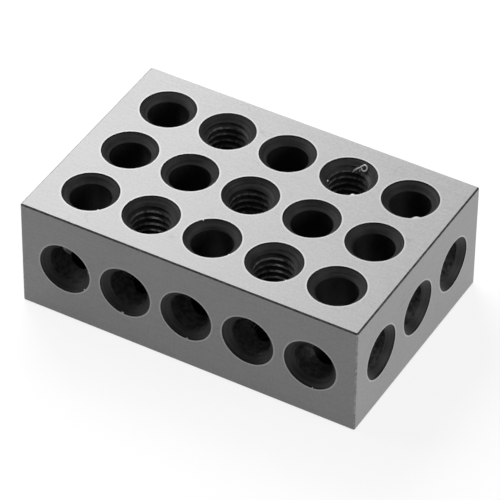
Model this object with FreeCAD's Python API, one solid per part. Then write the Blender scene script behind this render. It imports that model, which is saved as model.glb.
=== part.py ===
import FreeCAD, Part
import math
import os

# Machinist's setup block: hardened steel, ground square on all six faces, with sides in the
# ratio 1 : 2 : 3. Three families of countersunk through holes cross on their axes inside it.
# Lengths are in millimetres. The origin is the centre of the bottom face. +X runs along the
# length, +Y across the width and +Z up through the thickness.

INCH = 25.4

LENGTH = 3 * INCH
WIDTH = 2 * INCH
THICKNESS = 1 * INCH
EDGE_CHAMFER = 0.3

# The hole grid has its columns along X and its rows along Y, and is centred on the block.
COLUMNS = 5
ROWS = 3
COLUMN_PITCH = 0.55 * INCH
ROW_PITCH = 19 / 32 * INCH

# Five holes of the broad face, given by column and row from the lower left, take a 3/8-16
# screw thread. They are drawn at its minor diameter, and the plain holes are a little wider.
TAPPED = [(1, 0), (3, 0), (2, 1), (1, 2), (3, 2)]
TAPPED_BORE_DIAMETER = 8.1
PLAIN_BORE_DIAMETER = 8.6
COUNTERSINK_ANGLE = 90
BROAD_FACE_RIM_DIAMETER = 11.8
NARROW_FACE_RIM_DIAMETER = 11.6

# How far a cutter runs past the face that it enters.
OVERRUN = 1.0

X_AXIS = FreeCAD.Vector(1, 0, 0)
Y_AXIS = FreeCAD.Vector(0, 1, 0)
Z_AXIS = FreeCAD.Vector(0, 0, 1)
CENTRE = FreeCAD.Vector(0, 0, THICKNESS / 2)


def spaced(count, pitch):
    """Evenly spaced places, centred on zero."""
    first = -pitch * (count - 1) / 2
    return [first + pitch * i for i in range(count)]


def ground_blank():
    """The block before drilling, with all twelve edges broken."""
    corner = FreeCAD.Vector(-LENGTH / 2, -WIDTH / 2, 0)
    blank = Part.makeBox(LENGTH, WIDTH, THICKNESS, corner)
    return blank.makeChamfer(EDGE_CHAMFER, blank.Edges)


def hole_cutter(depth, rim_diameter, bore_diameter=PLAIN_BORE_DIAMETER):
    """A through hole countersunk at both ends, turned about Z with its middle on the origin."""
    slope = math.tan(math.radians(COUNTERSINK_ANGLE / 2))
    bore_radius = bore_diameter / 2
    sink_depth = (rim_diameter / 2 - bore_radius) / slope
    end = depth / 2 + OVERRUN
    end_radius = rim_diameter / 2 + OVERRUN * slope
    wall_end = depth / 2 - sink_depth
    outline = [
        FreeCAD.Vector(0, 0, -end),
        FreeCAD.Vector(end_radius, 0, -end),
        FreeCAD.Vector(bore_radius, 0, -wall_end),
        FreeCAD.Vector(bore_radius, 0, wall_end),
        FreeCAD.Vector(end_radius, 0, end),
        FreeCAD.Vector(0, 0, end),
    ]
    section = Part.Face(Part.makePolygon(outline + outline[:1]))
    return section.revolve(FreeCAD.Vector(), Z_AXIS, 360)


def placed(cutter, axis, offset):
    """A copy of a cutter, turned from Z to the given axis and moved off the block's centre."""
    turn = FreeCAD.Rotation(Z_AXIS, axis)
    copy = cutter.copy()
    copy.Placement = FreeCAD.Placement(CENTRE + offset, turn)
    return copy


def broad_face_cutters():
    """The full grid, from the top face through to the bottom, tapped holes among plain ones."""
    plain = hole_cutter(THICKNESS, BROAD_FACE_RIM_DIAMETER)
    tapped = hole_cutter(THICKNESS, BROAD_FACE_RIM_DIAMETER, TAPPED_BORE_DIAMETER)
    cutters = []
    for column, x in enumerate(spaced(COLUMNS, COLUMN_PITCH)):
        for row, y in enumerate(spaced(ROWS, ROW_PITCH)):
            cutter = tapped if (column, row) in TAPPED else plain
            cutters.append(placed(cutter, Z_AXIS, FreeCAD.Vector(x, y, 0)))
    return cutters


def long_side_cutters():
    """One hole below each column of the grid, at half the thickness, from side to side."""
    cutter = hole_cutter(WIDTH, NARROW_FACE_RIM_DIAMETER)
    return [placed(cutter, Y_AXIS, X_AXIS * x) for x in spaced(COLUMNS, COLUMN_PITCH)]


def end_cutters():
    """One hole along each row of the grid, at half the thickness, from end to end."""
    cutter = hole_cutter(LENGTH, NARROW_FACE_RIM_DIAMETER)
    return [placed(cutter, X_AXIS, Y_AXIS * y) for y in spaced(ROWS, ROW_PITCH)]


def setup_block():
    """The finished block: the blank less every hole."""
    cutters = broad_face_cutters() + long_side_cutters() + end_cutters()
    return ground_blank().cut(cutters)


def main():
    os.makedirs("parts", exist_ok=True)
    shape = setup_block()
    if not shape.isValid() or len(shape.Solids) != 1:
        raise RuntimeError("the block isn't one valid solid")
    shape.Solids[0].exportStep("parts/block.step")
    print("block", len(shape.Faces), "faces,", round(shape.Volume, 1), "mm3")


main()
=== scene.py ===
import math

import bmesh
import bpy
from mathutils import Matrix, Vector


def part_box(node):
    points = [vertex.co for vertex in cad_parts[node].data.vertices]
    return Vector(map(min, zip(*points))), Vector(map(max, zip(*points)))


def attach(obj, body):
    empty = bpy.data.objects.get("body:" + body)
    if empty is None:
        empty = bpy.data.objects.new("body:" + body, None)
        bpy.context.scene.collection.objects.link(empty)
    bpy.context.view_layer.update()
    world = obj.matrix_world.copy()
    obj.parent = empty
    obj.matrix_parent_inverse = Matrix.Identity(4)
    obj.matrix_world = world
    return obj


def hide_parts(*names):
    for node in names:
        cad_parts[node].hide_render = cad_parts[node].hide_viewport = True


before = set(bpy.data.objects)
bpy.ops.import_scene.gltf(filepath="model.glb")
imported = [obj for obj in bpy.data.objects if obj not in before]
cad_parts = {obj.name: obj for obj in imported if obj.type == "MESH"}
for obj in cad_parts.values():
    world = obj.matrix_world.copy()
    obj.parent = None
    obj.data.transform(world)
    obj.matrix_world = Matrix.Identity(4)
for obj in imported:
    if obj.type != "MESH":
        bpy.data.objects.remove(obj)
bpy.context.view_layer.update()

# Machinist's setup block of hardened steel, ground bright on its six faces. The countersinks,
# bores, threads and edge chamfers keep their dark heat-treatment scale. The level chamfers are
# partly painted shade and the upright ones are painted lighter; the cross bores and the thread
# crests are partly painted light. Lengths are in metres.

MM = 0.001
INCH = 0.0254
TURN = 2 * math.pi

LOW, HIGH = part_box("block")
LENGTH, WIDTH, THICKNESS = HIGH - LOW
CENTRE = (LOW + HIGH) / 2

# The hole grid: columns along X, rows along Y, both centred on the block.
COLUMNS = 5
ROWS = 3
COLUMN_PITCH = 0.55 * INCH
ROW_PITCH = 19 / 32 * INCH
TAPPED = ((1, 0), (3, 0), (2, 1), (1, 2), (3, 2))

PLAIN_RADIUS = 4.3 * MM
TAPPED_RADIUS = 4.05 * MM
BROAD_RIM_RADIUS = 5.9 * MM
NARROW_RIM_RADIUS = 5.8 * MM
COUNTERSINK_SLOPE = math.tan(math.radians(45))
EDGE_CHAMFER = 0.3 * MM
OVERRUN = 0.2 * MM

# The thread is 3/8-16: sixty-degree flanks, with flat roots an eighth of the pitch wide.
PITCH = INCH / 16
MAJOR_RADIUS = 3 / 16 * INCH
THREAD_CORE = TAPPED_RADIUS - 0.05 * MM

HOLE_SEGMENTS = 96
THREAD_SEGMENTS = 64

# The block's faces take one of these finishes each, in this order of material slots.
(GROUND_END, GROUND_SIDE, GROUND_BROAD, SHADED_EDGE, UPRIGHT_EDGE,
 SINK, BORE, CROSS_BORE, THREAD, LAND, BARE) = range(11)


# ---------------------------------------------------------------- geometry

def spaced(count, pitch):
    """Evenly spaced places, centred on zero."""
    first = -pitch * (count - 1) / 2
    return [first + pitch * i for i in range(count)]


def link(name, mesh):
    """A new object in the scene that shows the mesh."""
    piece = bpy.data.objects.new(name, mesh)
    bpy.context.scene.collection.objects.link(piece)
    return piece


def mesh_from(name, bm):
    """The bmesh as a mesh, with its faces turned outwards."""
    bmesh.ops.recalc_face_normals(bm, faces=bm.faces)
    mesh = bpy.data.meshes.new(name)
    bm.to_mesh(mesh)
    bm.free()
    return mesh


def blank():
    """The block before drilling, with its edges broken."""
    bm = bmesh.new()
    bmesh.ops.create_cube(bm, size=1)
    bmesh.ops.scale(bm, vec=(LENGTH, WIDTH, THICKNESS), verts=bm.verts)
    bmesh.ops.translate(bm, vec=CENTRE, verts=bm.verts)
    bmesh.ops.bevel(bm, geom=bm.edges[:], offset=EDGE_CHAMFER, segments=1, affect="EDGES")
    bm.normal_update()
    for face in bm.faces:
        # Painted shade: the chamfers on the level edges take the dark finish and the upright chamfers a
        # lighter one, chosen by which way they face.
        face.material_index = SHADED_EDGE if abs(face.normal.z) > 0.1 else UPRIGHT_EDGE
        for finish, part in zip((GROUND_END, GROUND_SIDE, GROUND_BROAD), face.normal):
            if abs(part) > 0.99:
                face.material_index = finish
    return mesh_from("blank", bm)


def add_turned(bm, profile, finishes, place):
    """Adds a closed solid of revolution about Z; profile lists (radius, height) up its side."""
    rings = []
    for radius, height in profile:
        ring = []
        for i in range(HOLE_SEGMENTS):
            angle = TURN * i / HOLE_SEGMENTS
            point = Vector((radius * math.cos(angle), radius * math.sin(angle), height))
            ring.append(bm.verts.new(place @ point))
        rings.append(ring)
    for lower, upper, finish in zip(rings, rings[1:], finishes):
        for i in range(HOLE_SEGMENTS):
            j = (i + 1) % HOLE_SEGMENTS
            face = bm.faces.new((lower[i], lower[j], upper[j], upper[i]))
            face.material_index = finish
    bm.faces.new(rings[0][::-1])
    bm.faces.new(rings[-1])


def add_hole(bm, depth, rim_radius, place, wall, bore_radius=PLAIN_RADIUS):
    """Adds the cutter of a through hole, countersunk at both ends, with its middle on the origin."""
    end = depth / 2 + OVERRUN
    end_radius = rim_radius + OVERRUN * COUNTERSINK_SLOPE
    wall_end = depth / 2 - (rim_radius - bore_radius) / COUNTERSINK_SLOPE
    profile = [(end_radius, -end), (bore_radius, -wall_end), (bore_radius, wall_end), (end_radius, end)]
    add_turned(bm, profile, (SINK, wall, SINK), place)


def broad_face_cutters():
    """The full grid through the broad faces, tapped holes among plain ones."""
    bm = bmesh.new()
    for column, x in enumerate(spaced(COLUMNS, COLUMN_PITCH)):
        for row, y in enumerate(spaced(ROWS, ROW_PITCH)):
            place = Matrix.Translation(CENTRE + Vector((x, y, 0)))
            if (column, row) in TAPPED:
                add_hole(bm, THICKNESS, BROAD_RIM_RADIUS, place, LAND, TAPPED_RADIUS)
            else:
                add_hole(bm, THICKNESS, BROAD_RIM_RADIUS, place, BORE)
    return mesh_from("broad_face_cutters", bm)


def long_side_cutters():
    """One hole under each column of the grid, from side to side."""
    bm = bmesh.new()
    turn = Matrix.Rotation(TURN / 4, 4, "X")
    for x in spaced(COLUMNS, COLUMN_PITCH):
        place = Matrix.Translation(CENTRE + Vector((x, 0, 0))) @ turn
        add_hole(bm, WIDTH, NARROW_RIM_RADIUS, place, CROSS_BORE)
    return mesh_from("long_side_cutters", bm)


def end_cutters():
    """One hole along each row of the grid, from end to end."""
    bm = bmesh.new()
    turn = Matrix.Rotation(TURN / 4, 4, "Y")
    for y in spaced(ROWS, ROW_PITCH):
        place = Matrix.Translation(CENTRE + Vector((0, y, 0))) @ turn
        add_hole(bm, LENGTH, NARROW_RIM_RADIUS, place, CROSS_BORE)
    return mesh_from("end_cutters", bm)


# How far below the top face each tapped hole's crest passes +X.
THREAD_STARTS = {
    (1, 2): 1.35 * MM,
    (3, 2): 0.95 * MM,
    (2, 1): 0.45 * MM,
    (1, 0): 1.55 * MM,
    (3, 0): 0.05 * MM,
}


def add_thread(bm, x, y, start):
    """Adds the cutter of a right-hand thread: a core just inside the bore, with one helical ridge."""
    root = PITCH / 16
    foot = root + (MAJOR_RADIUS - THREAD_CORE) * math.tan(math.radians(30))
    profile = [(-foot, THREAD_CORE), (-root, MAJOR_RADIUS), (root, MAJOR_RADIUS), (foot, THREAD_CORE)]
    turns = math.ceil(THICKNESS / PITCH) + 3
    lowest = HIGH.z - start + PITCH / 2 - (turns - 1) * PITCH
    columns = []
    for j in range(THREAD_SEGMENTS):
        angle = TURN * j / THREAD_SEGMENTS
        across = Vector((math.cos(angle), math.sin(angle), 0))
        column = []
        for k in range(turns):
            for height, radius in profile:
                z = lowest + PITCH * (k + j / THREAD_SEGMENTS) + height
                column.append(bm.verts.new(Vector((x, y, z)) + across * radius))
        columns.append(column)
    rows = len(columns[0])
    step = len(profile)
    for j in range(THREAD_SEGMENTS):
        here, there = columns[j], columns[(j + 1) % THREAD_SEGMENTS]
        lift = step if j == THREAD_SEGMENTS - 1 else 0
        for i in range(rows - 1):
            if i + 1 + lift < rows:
                face = bm.faces.new((here[i], there[i + lift], there[i + 1 + lift], here[i + 1]))
                face.material_index = THREAD
    seam_low = columns[0][:step + 1]
    seam_high = columns[-1][-step - 1:]
    bottom = bm.verts.new((x, y, lowest))
    top = bm.verts.new((x, y, lowest + PITCH * turns))
    low_loop = [c[0] for c in columns] + seam_low[:0:-1]
    high_loop = [c[-1] for c in columns[:-1]] + seam_high[::-1]
    for loop, pole in ((low_loop, bottom), (high_loop, top)):
        for a, b in zip(loop, loop[1:] + loop[:1]):
            bm.faces.new((a, b, pole))


def thread_cutters():
    """The threads of the tapped holes."""
    bm = bmesh.new()
    columns, rows = spaced(COLUMNS, COLUMN_PITCH), spaced(ROWS, ROW_PITCH)
    for column, row in TAPPED:
        add_thread(bm, columns[column], rows[row], THREAD_STARTS[column, row])
    return mesh_from("thread_cutters", bm)


# Raised nicks on the rims, as (hole, angle in degrees, span in degrees, width in mm). On the broad
# face a hole is a column and a row, on the front a column, and angles run from +X towards +Y or +Z.
BROAD_NICKS = (((4, 2), -52, 20, 0.42), ((3, 2), -54, 13, 0.38), ((0, 0), -44, 5, 0.22),
               ((3, 0), -38, 5, 0.2), ((2, 0), 138, 4, 0.2), ((2, 0), -26, 4, 0.18))
FRONT_NICKS = ((0, 14, 6, 0.18), (0, -38, 6, 0.2), (1, -97, 9, 0.22), (2, -88, 7, 0.2), (4, -84, 5, 0.18))
NICK_STEPS = 8


def add_nick(bm, place, radius, angle, span, width):
    """Adds a sliver of bare metal that clings to a countersink's rim and thins out to both ends."""
    sections = []
    for i in range(NICK_STEPS + 1):
        share = i / NICK_STEPS
        wide = width * MM * (0.15 + math.sin(math.pi * share) * (0.85 - 0.25 * math.cos(5 * share)))
        turn = math.radians(angle + span * (share - 0.5))
        section = []
        for r, z in ((radius, -0.03 * MM), (radius - wide, -0.05 * MM), (radius - wide * 0.8, -wide)):
            section.append(bm.verts.new(place @ Vector((r * math.cos(turn), r * math.sin(turn), z))))
        sections.append(section)
    for here, there in zip(sections, sections[1:]):
        for k in range(3):
            face = bm.faces.new((here[k], here[(k + 1) % 3], there[(k + 1) % 3], there[k]))
            face.material_index = BARE
    for end in (sections[0], sections[-1][::-1]):
        bm.faces.new(end).material_index = BARE


def add_chip(bm, path, place, thickness, sides=8):
    """Adds a piece of swarf: a thin round wire of that radius along the path, which is in mm."""
    points = [place @ (Vector(point) * MM) for point in path]
    rings = []
    for i, point in enumerate(points):
        along = (points[min(i + 1, len(points) - 1)] - points[max(i - 1, 0)]).normalized()
        side = along.orthogonal() if not rings else (side - along * side.dot(along))
        side.normalize()
        other = along.cross(side)
        thin = thickness * (0.5 if i in (0, len(points) - 1) else 1)
        ring = []
        for k in range(sides):
            turn = TURN * k / sides
            ring.append(bm.verts.new(point + (side * math.cos(turn) + other * math.sin(turn)) * thin))
        rings.append(ring)
    for here, there in zip(rings, rings[1:]):
        for k in range(sides):
            face = bm.faces.new((here[k], here[(k + 1) % sides], there[(k + 1) % sides], there[k]))
            face.material_index = BARE
            face.smooth = True
    for end in (rings[0][::-1], rings[-1]):
        bm.faces.new(end).material_index = BARE


def wear():
    """Nicks on the rims, and a curled chip and a bead of metal caught in one tapped hole."""
    bm = bmesh.new()
    columns, rows = spaced(COLUMNS, COLUMN_PITCH), spaced(ROWS, ROW_PITCH)
    for (column, row), angle, span, width in BROAD_NICKS:
        place = Matrix.Translation((columns[column], rows[row], HIGH.z))
        add_nick(bm, place, BROAD_RIM_RADIUS, angle, span, width)
    for column, angle, span, width in FRONT_NICKS:
        place = Matrix.Translation((columns[column], LOW.y, CENTRE.z)) @ Matrix.Rotation(TURN / 4, 4, "X")
        add_nick(bm, place, NARROW_RIM_RADIUS, angle, span, width)
    place = Matrix.Translation((columns[3], rows[2], HIGH.z))
    curl = [(-1.1, 3.7, -2.1), (-0.75, 3.95, -1.65), (-0.3, 4.2, -1.2), (0.2, 4.4, -0.85)]
    for i in range(15):
        turn = math.radians(150 - 24 * i)
        reach = 0.62 - 0.012 * i
        curl.append((1.15 + reach * math.cos(turn), 4.7 + 0.6 * reach * math.sin(turn) - 0.03 * i,
                     -0.8 + 0.8 * reach * math.sin(turn)))
    add_chip(bm, curl, place, 0.17 * MM)
    add_chip(bm, [(0.2, 4.4, -0.95), (0.35, 4.2, -1.4), (0.2, 4.0, -1.8)], place, 0.14 * MM)
    add_chip(bm, [(-3.95, -1.6, -1.75), (-3.8, -1.75, -1.6), (-3.7, -1.7, -1.5)], place, 0.2 * MM)
    return mesh_from("wear", bm)


def cut(mesh, cutter_mesh, materials):
    """The mesh less the cutter."""
    piece, cutter = link("blank", mesh), link("cutter", cutter_mesh)
    for material in materials:
        cutter_mesh.materials.append(material)
    boolean = piece.modifiers.new("cut", "BOOLEAN")
    boolean.operation = "DIFFERENCE"
    boolean.solver = "MANIFOLD"
    boolean.object = cutter
    bpy.context.view_layer.update()
    evaluated = piece.evaluated_get(bpy.context.evaluated_depsgraph_get())
    result = bpy.data.meshes.new_from_object(evaluated)
    bpy.data.objects.remove(piece)
    bpy.data.objects.remove(cutter)
    return result


def block_mesh(materials):
    """The block with every hole and thread, shaded flat on its ground faces."""
    mesh = blank()
    for material in materials:
        mesh.materials.append(material)
    for cutter in (broad_face_cutters(), long_side_cutters(), end_cutters(), thread_cutters()):
        mesh = cut(mesh, cutter, materials)
    joined = bmesh.new()
    joined.from_mesh(mesh)
    joined.from_mesh(wear())
    joined.to_mesh(mesh)
    joined.free()
    for face in mesh.polygons:
        face.use_smooth = face.material_index >= SINK
    mesh.set_sharp_from_angle(angle=math.radians(30))
    return mesh


# ---------------------------------------------------------------- materials

class Shader:
    """One material's nodes, wired by short calls. Its coordinates are the block's own, in mm."""

    def __init__(self, name):
        self.material = bpy.data.materials.new(name)
        self.material.use_nodes = True
        self.nodes = self.material.node_tree.nodes
        self.links = self.material.node_tree.links
        self.surface = self.nodes["Principled BSDF"]
        place = self.nodes.new("ShaderNodeTexCoord").outputs["Object"]
        self.place = self.scaled(place, (1 / MM, 1 / MM, 1 / MM))
        parts = self.nodes.new("ShaderNodeSeparateXYZ")
        self.feed(parts.inputs[0], self.place)
        self.x, self.y, self.z = parts.outputs

    def feed(self, socket, value):
        if isinstance(value, bpy.types.NodeSocket):
            self.links.new(value, socket)
        else:
            socket.default_value = value

    def scaled(self, vector, factors):
        node = self.nodes.new("ShaderNodeVectorMath")
        node.operation = "MULTIPLY"
        self.feed(node.inputs[0], vector)
        self.feed(node.inputs[1], factors)
        return node.outputs[0]

    def math(self, operation, *values):
        node = self.nodes.new("ShaderNodeMath")
        node.operation = operation
        for socket, value in zip(node.inputs, values):
            self.feed(socket, value)
        return node.outputs[0]

    def noise(self, size, detail=2.0, stretch=(1, 1, 1), seed=0.0):
        """Smooth noise around 0.5, with features of about that size in mm."""
        node = self.nodes.new("ShaderNodeTexNoise")
        node.noise_dimensions = "4D"
        self.feed(node.inputs["Vector"], self.scaled(self.place, [1 / s for s in stretch]))
        self.feed(node.inputs["W"], seed)
        self.feed(node.inputs["Scale"], 1 / size)
        self.feed(node.inputs["Detail"], detail)
        return node.outputs[0]

    def fade(self, value, start, end, low=0.0, high=1.0):
        """From low to high as the value goes from start to end, smoothly."""
        node = self.nodes.new("ShaderNodeMapRange")
        node.interpolation_type = "SMOOTHSTEP"
        ends = {"Value": value, "From Min": start, "From Max": end, "To Min": low, "To Max": high}
        for name, end_value in ends.items():
            self.feed(node.inputs[name], end_value)
        return node.outputs[0]

    def blend(self, factor, a, b):
        """a where the factor is 0, b where it is 1."""
        node = self.nodes.new("ShaderNodeMix")
        self.feed(node.inputs[0], factor)
        self.feed(node.inputs[2], a)
        self.feed(node.inputs[3], b)
        return node.outputs[0]

    def total(self, *values):
        result = values[0]
        for value in values[1:]:
            result = self.math("ADD", result, value)
        return result

    def swing(self, value, amount):
        """Noise around 0.5 as a change around 0, of that amount."""
        return self.math("MULTIPLY", self.math("SUBTRACT", value, 0.5), amount)

    def off_grid(self, along, pitch, count):
        """Distance along an axis from the nearest of the evenly spaced holes."""
        reach = (count - 1) / 2
        nearest = self.math("ROUND", self.math("DIVIDE", along, pitch / MM))
        inside = self.math("MINIMUM", self.math("MAXIMUM", nearest, -reach), reach)
        return self.math("SUBTRACT", along, self.math("MULTIPLY", inside, pitch / MM))

    def finish(self, colour, roughness, height, metallic, specular=0.5):
        """Wires up the shader and returns the material; height is in mm."""
        bump = self.nodes.new("ShaderNodeBump")
        bump.inputs["Distance"].default_value = MM
        self.feed(bump.inputs["Height"], height)
        self.feed(self.surface.inputs["Normal"], bump.outputs[0])
        self.feed(self.surface.inputs["Base Color"], colour)
        self.feed(self.surface.inputs["Roughness"], roughness)
        self.feed(self.surface.inputs["Metallic"], metallic)
        self.feed(self.surface.inputs["Specular IOR Level"], specular)
        return self.material


MIDDLE = THICKNESS / 2 / MM
STEEL = 0.62
STEEL_METALLIC = 0.08
STEEL_SPECULAR = 0.35


def ground_steel(name, plane, rim_radius, rim_highlight_colour, stretch):
    """Surface-ground steel: mottle, faint grinding lines and scuffs, and a bright ring round each hole
    that is partly polished rim and partly a painted highlight of the rim catching the light.

    plane gives, for the face's two directions, the axis, the hole pitch and the number of holes.
    """
    s = Shader(name)
    offsets = []
    for axis, pitch, count in plane:
        along = {"x": s.x, "y": s.y, "z": s.math("SUBTRACT", s.z, MIDDLE)}[axis]
        offsets.append(s.off_grid(along, pitch, count))
    from_hole = s.math("SQRT", s.total(*(s.math("MULTIPLY", o, o) for o in offsets)))
    # Painted highlight: the ring round each hole is a lighter colour that stands in for the rim catching
    # the light, and is partly polished metal too.
    ring = s.fade(from_hole, rim_radius / MM + 0.45, rim_radius / MM + 0.2)
    grain = s.noise(0.5, 3)
    cloud = s.noise(9, 2, seed=3)
    lines = s.noise(0.35, 2, stretch, seed=7)
    scuff_line = s.math("ABSOLUTE", s.math("SUBTRACT", s.noise(7, 1, seed=11), 0.5))
    scuff_patch = s.fade(s.noise(5, 1, seed=17), 0.55, 0.7)
    scuff = s.math("MULTIPLY", s.fade(scuff_line, 0.012, 0.0), scuff_patch)
    tone = s.total(STEEL, s.swing(grain, 0.26), s.swing(cloud, 0.06), s.swing(lines, 0.12),
                   s.math("MULTIPLY", scuff, -0.08))
    colour = s.blend(ring, tone, rim_highlight_colour)
    roughness = s.total(0.42, s.swing(grain, 0.2), s.swing(lines, 0.1))
    height = s.total(s.swing(grain, 0.004), s.swing(lines, 0.003))
    return s.finish(colour, roughness, height, STEEL_METALLIC, STEEL_SPECULAR)


def scale(name, colour_low, colour_high, roughness, metallic=0.0):
    """Mottled heat-treatment scale, between two greys, with small light specks."""
    s = Shader(name)
    patch = s.noise(0.9, 4)
    speck = s.noise(0.25, 2, seed=5)
    tone = s.fade(patch, 0.35, 0.65, colour_low, colour_high)
    colour = s.math("ADD", tone, s.math("MULTIPLY", s.fade(speck, 0.68, 0.78), colour_high))
    height = s.total(s.swing(patch, 0.03), s.swing(speck, 0.02))
    return s.finish(colour, s.total(roughness, s.swing(patch, 0.2)), height, metallic)


def countersink(name):
    """Dark scale on the countersinks, with rings left by the tool and a black line at the rim."""
    s = Shader(name)
    up = s.math("SUBTRACT", s.z, MIDDLE)
    depths = []
    for along, size in ((s.x, LENGTH), (s.y, WIDTH), (up, THICKNESS)):
        depths.append(s.math("SUBTRACT", size / 2 / MM, s.math("ABSOLUTE", along)))
    depth = s.math("MINIMUM", s.math("MINIMUM", depths[0], depths[1]), depths[2])
    rings = s.noise(9, 2, seed=s.math("MULTIPLY", depth, 26))
    speck = s.noise(0.3, 2, seed=5)
    patch = s.noise(1.2, 3)
    tone = s.total(0.045, s.swing(rings, 0.12), s.swing(patch, 0.03), s.fade(speck, 0.68, 0.8, 0, 0.05))
    tone = s.math("MAXIMUM", tone, 0.008)
    colour = s.math("MULTIPLY", tone, s.fade(depth, 0.1, 0.28, 0.15, 1))
    height = s.total(s.swing(rings, 0.06), s.swing(speck, 0.02))
    return s.finish(colour, s.total(0.5, s.swing(patch, 0.2)), height, 0.0, 0.25)


def block_materials():
    """The block's finishes, in the order of the slots."""
    across = ("x", COLUMN_PITCH, COLUMNS)
    back = ("y", ROW_PITCH, ROWS)
    up = ("z", THICKNESS, 1)
    return (
        # The ring colours are painted highlight, brighter on the end and side faces, which get less light
        # than the broad face.
        ground_steel("ground_end", (back, up), NARROW_RIM_RADIUS, 0.9, (1, 12, 1)),
        ground_steel("ground_side", (across, up), NARROW_RIM_RADIUS, 0.9, (12, 1, 1)),
        ground_steel("ground_broad", (across, back), BROAD_RIM_RADIUS, 0.78, (12, 1, 1)),
        # The level edge chamfers are dark scale and painted shade; the upright chamfers are painted
        # lighter.
        scale("edge_scale_and_painted_shade", 0.05, 0.14, 0.5),
        scale("upright_edge_painted_light", 0.3, 0.6, 0.4, 0.1),
        countersink("countersink_scale"),
        scale("bore_scale", 0.01, 0.02, 0.6),
        # The cross bores are painted lighter than the upright bores: partly thinner scale, partly painted
        # light where the side lamp shines in.
        scale("cross_bore_scale_painted_light", 0.05, 0.16, 0.45),
        scale("thread_scale", 0.012, 0.03, 0.5),
        # The thread crests are partly burnished metal and partly painted highlight: a bright colour where
        # the crests catch the light.
        scale("thread_land_painted_highlight", 0.16, 0.55, 0.35, 0.4),
        scale("bare_metal", 0.75, 0.9, 0.3, 0.2),
    )


# ---------------------------------------------------------------- the pieces

def build_block():
    """The one visible piece, in place of the solid."""
    materials = block_materials()
    piece = link("setup_block", block_mesh(materials))
    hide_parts("block")
    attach(piece, "root")


# ---------------------------------------------------------------- stage, light and camera

FLOOR_SIZE = 6.0
FLOOR_GREY = 0.27
FLOOR_GLOW = 0.84
UNCOVERED_RIM = 1.0 * MM


def floor_plane(name, length, width, height):
    """A level stage plane in the floor's colour; returns its nodes, links and shader."""
    bm = bmesh.new()
    bmesh.ops.create_grid(bm, x_segments=1, y_segments=1, size=0.5)
    bmesh.ops.scale(bm, vec=(length, width, 1), verts=bm.verts)
    bmesh.ops.translate(bm, vec=(0, 0, height), verts=bm.verts)
    plane = link(name, mesh_from(name, bm))
    material = bpy.data.materials.new(name)
    material.use_nodes = True
    nodes, links = material.node_tree.nodes, material.node_tree.links
    surface = nodes["Principled BSDF"]
    surface.inputs["Base Color"].default_value = (FLOOR_GREY, FLOOR_GREY, FLOOR_GREY, 1)
    surface.inputs["Roughness"].default_value = 0.9
    surface.inputs["Specular IOR Level"].default_value = 0.0
    plane.data.materials.append(material)
    return nodes, links, surface


def floor():
    """A wide floor. Where the camera or a reflection sees it, it is white and keeps the shadow."""
    nodes, links, surface = floor_plane("floor", FLOOR_SIZE, FLOOR_SIZE, -0.02 * MM)
    surface.inputs["Emission Color"].default_value = (1, 1, 1, 1)
    path = nodes.new("ShaderNodeLightPath")
    seen = path.outputs["Is Camera Ray"]
    for ray in ("Is Glossy Ray", "Is Transmission Ray"):
        either = nodes.new("ShaderNodeMath")
        either.operation = "MAXIMUM"
        links.new(seen, either.inputs[0])
        links.new(path.outputs[ray], either.inputs[1])
        seen = either.outputs[0]
    strength = nodes.new("ShaderNodeMath")
    strength.operation = "MULTIPLY"
    strength.inputs[1].default_value = FLOOR_GLOW
    links.new(seen, strength.inputs[0])
    links.new(strength.outputs[0], surface.inputs["Emission Strength"])


def covered_floor():
    """The floor under the block, where no light reaches, so that it is dark behind the holes."""
    floor_plane("covered_floor", LENGTH - 2 * UNCOVERED_RIM, WIDTH - 2 * UNCOVERED_RIM, -0.01 * MM)


def area_light(name, place, size, power):
    """A square lamp at that place, turned to the block's centre."""
    data = bpy.data.lights.new(name, "AREA")
    data.shape = "RECTANGLE"
    data.size = size
    data.size_y = size
    data.energy = power
    light = bpy.data.objects.new(name, data)
    light.location = place
    light.rotation_euler = (CENTRE - Vector(place)).to_track_quat("-Z", "Y").to_euler()
    bpy.context.scene.collection.objects.link(light)


def studio_light():
    """A faint even fill, and four soft lamps that are stronger on the left."""
    world = bpy.data.worlds.new("studio")
    world.use_nodes = True
    background = world.node_tree.nodes["Background"]
    background.inputs["Color"].default_value = (1, 1, 1, 1)
    background.inputs["Strength"].default_value = 0.12
    bpy.context.scene.world = world
    area_light("above", (-0.6, 0, 0.7), 0.5, 1.7)
    area_light("close_left", (-0.2, 0.2, 0.3), 0.2, 0.85)
    area_light("low_left", (-0.8, -0.2, 0.2), 0.3, 0.46)
    area_light("right", (0.8, 0, 0.3), 0.4, 1.6)


def camera():
    """A long lens from the right of the front, looking down at the top face."""
    data = bpy.data.cameras.new("camera")
    data.sensor_width = 36
    data.lens = 279.4
    data.clip_start = 0.01
    data.clip_end = 20
    view = bpy.data.objects.new("camera", data)
    view.location = (0.28863, -0.51330, 0.52254)
    view.rotation_euler = [math.radians(a) for a in (49.0186, -0.5278, 29.8058)]
    bpy.context.scene.collection.objects.link(view)
    bpy.context.scene.camera = view


build_block()
floor()
covered_floor()
studio_light()
camera()
bpy.context.scene.view_settings.view_transform = "Standard"
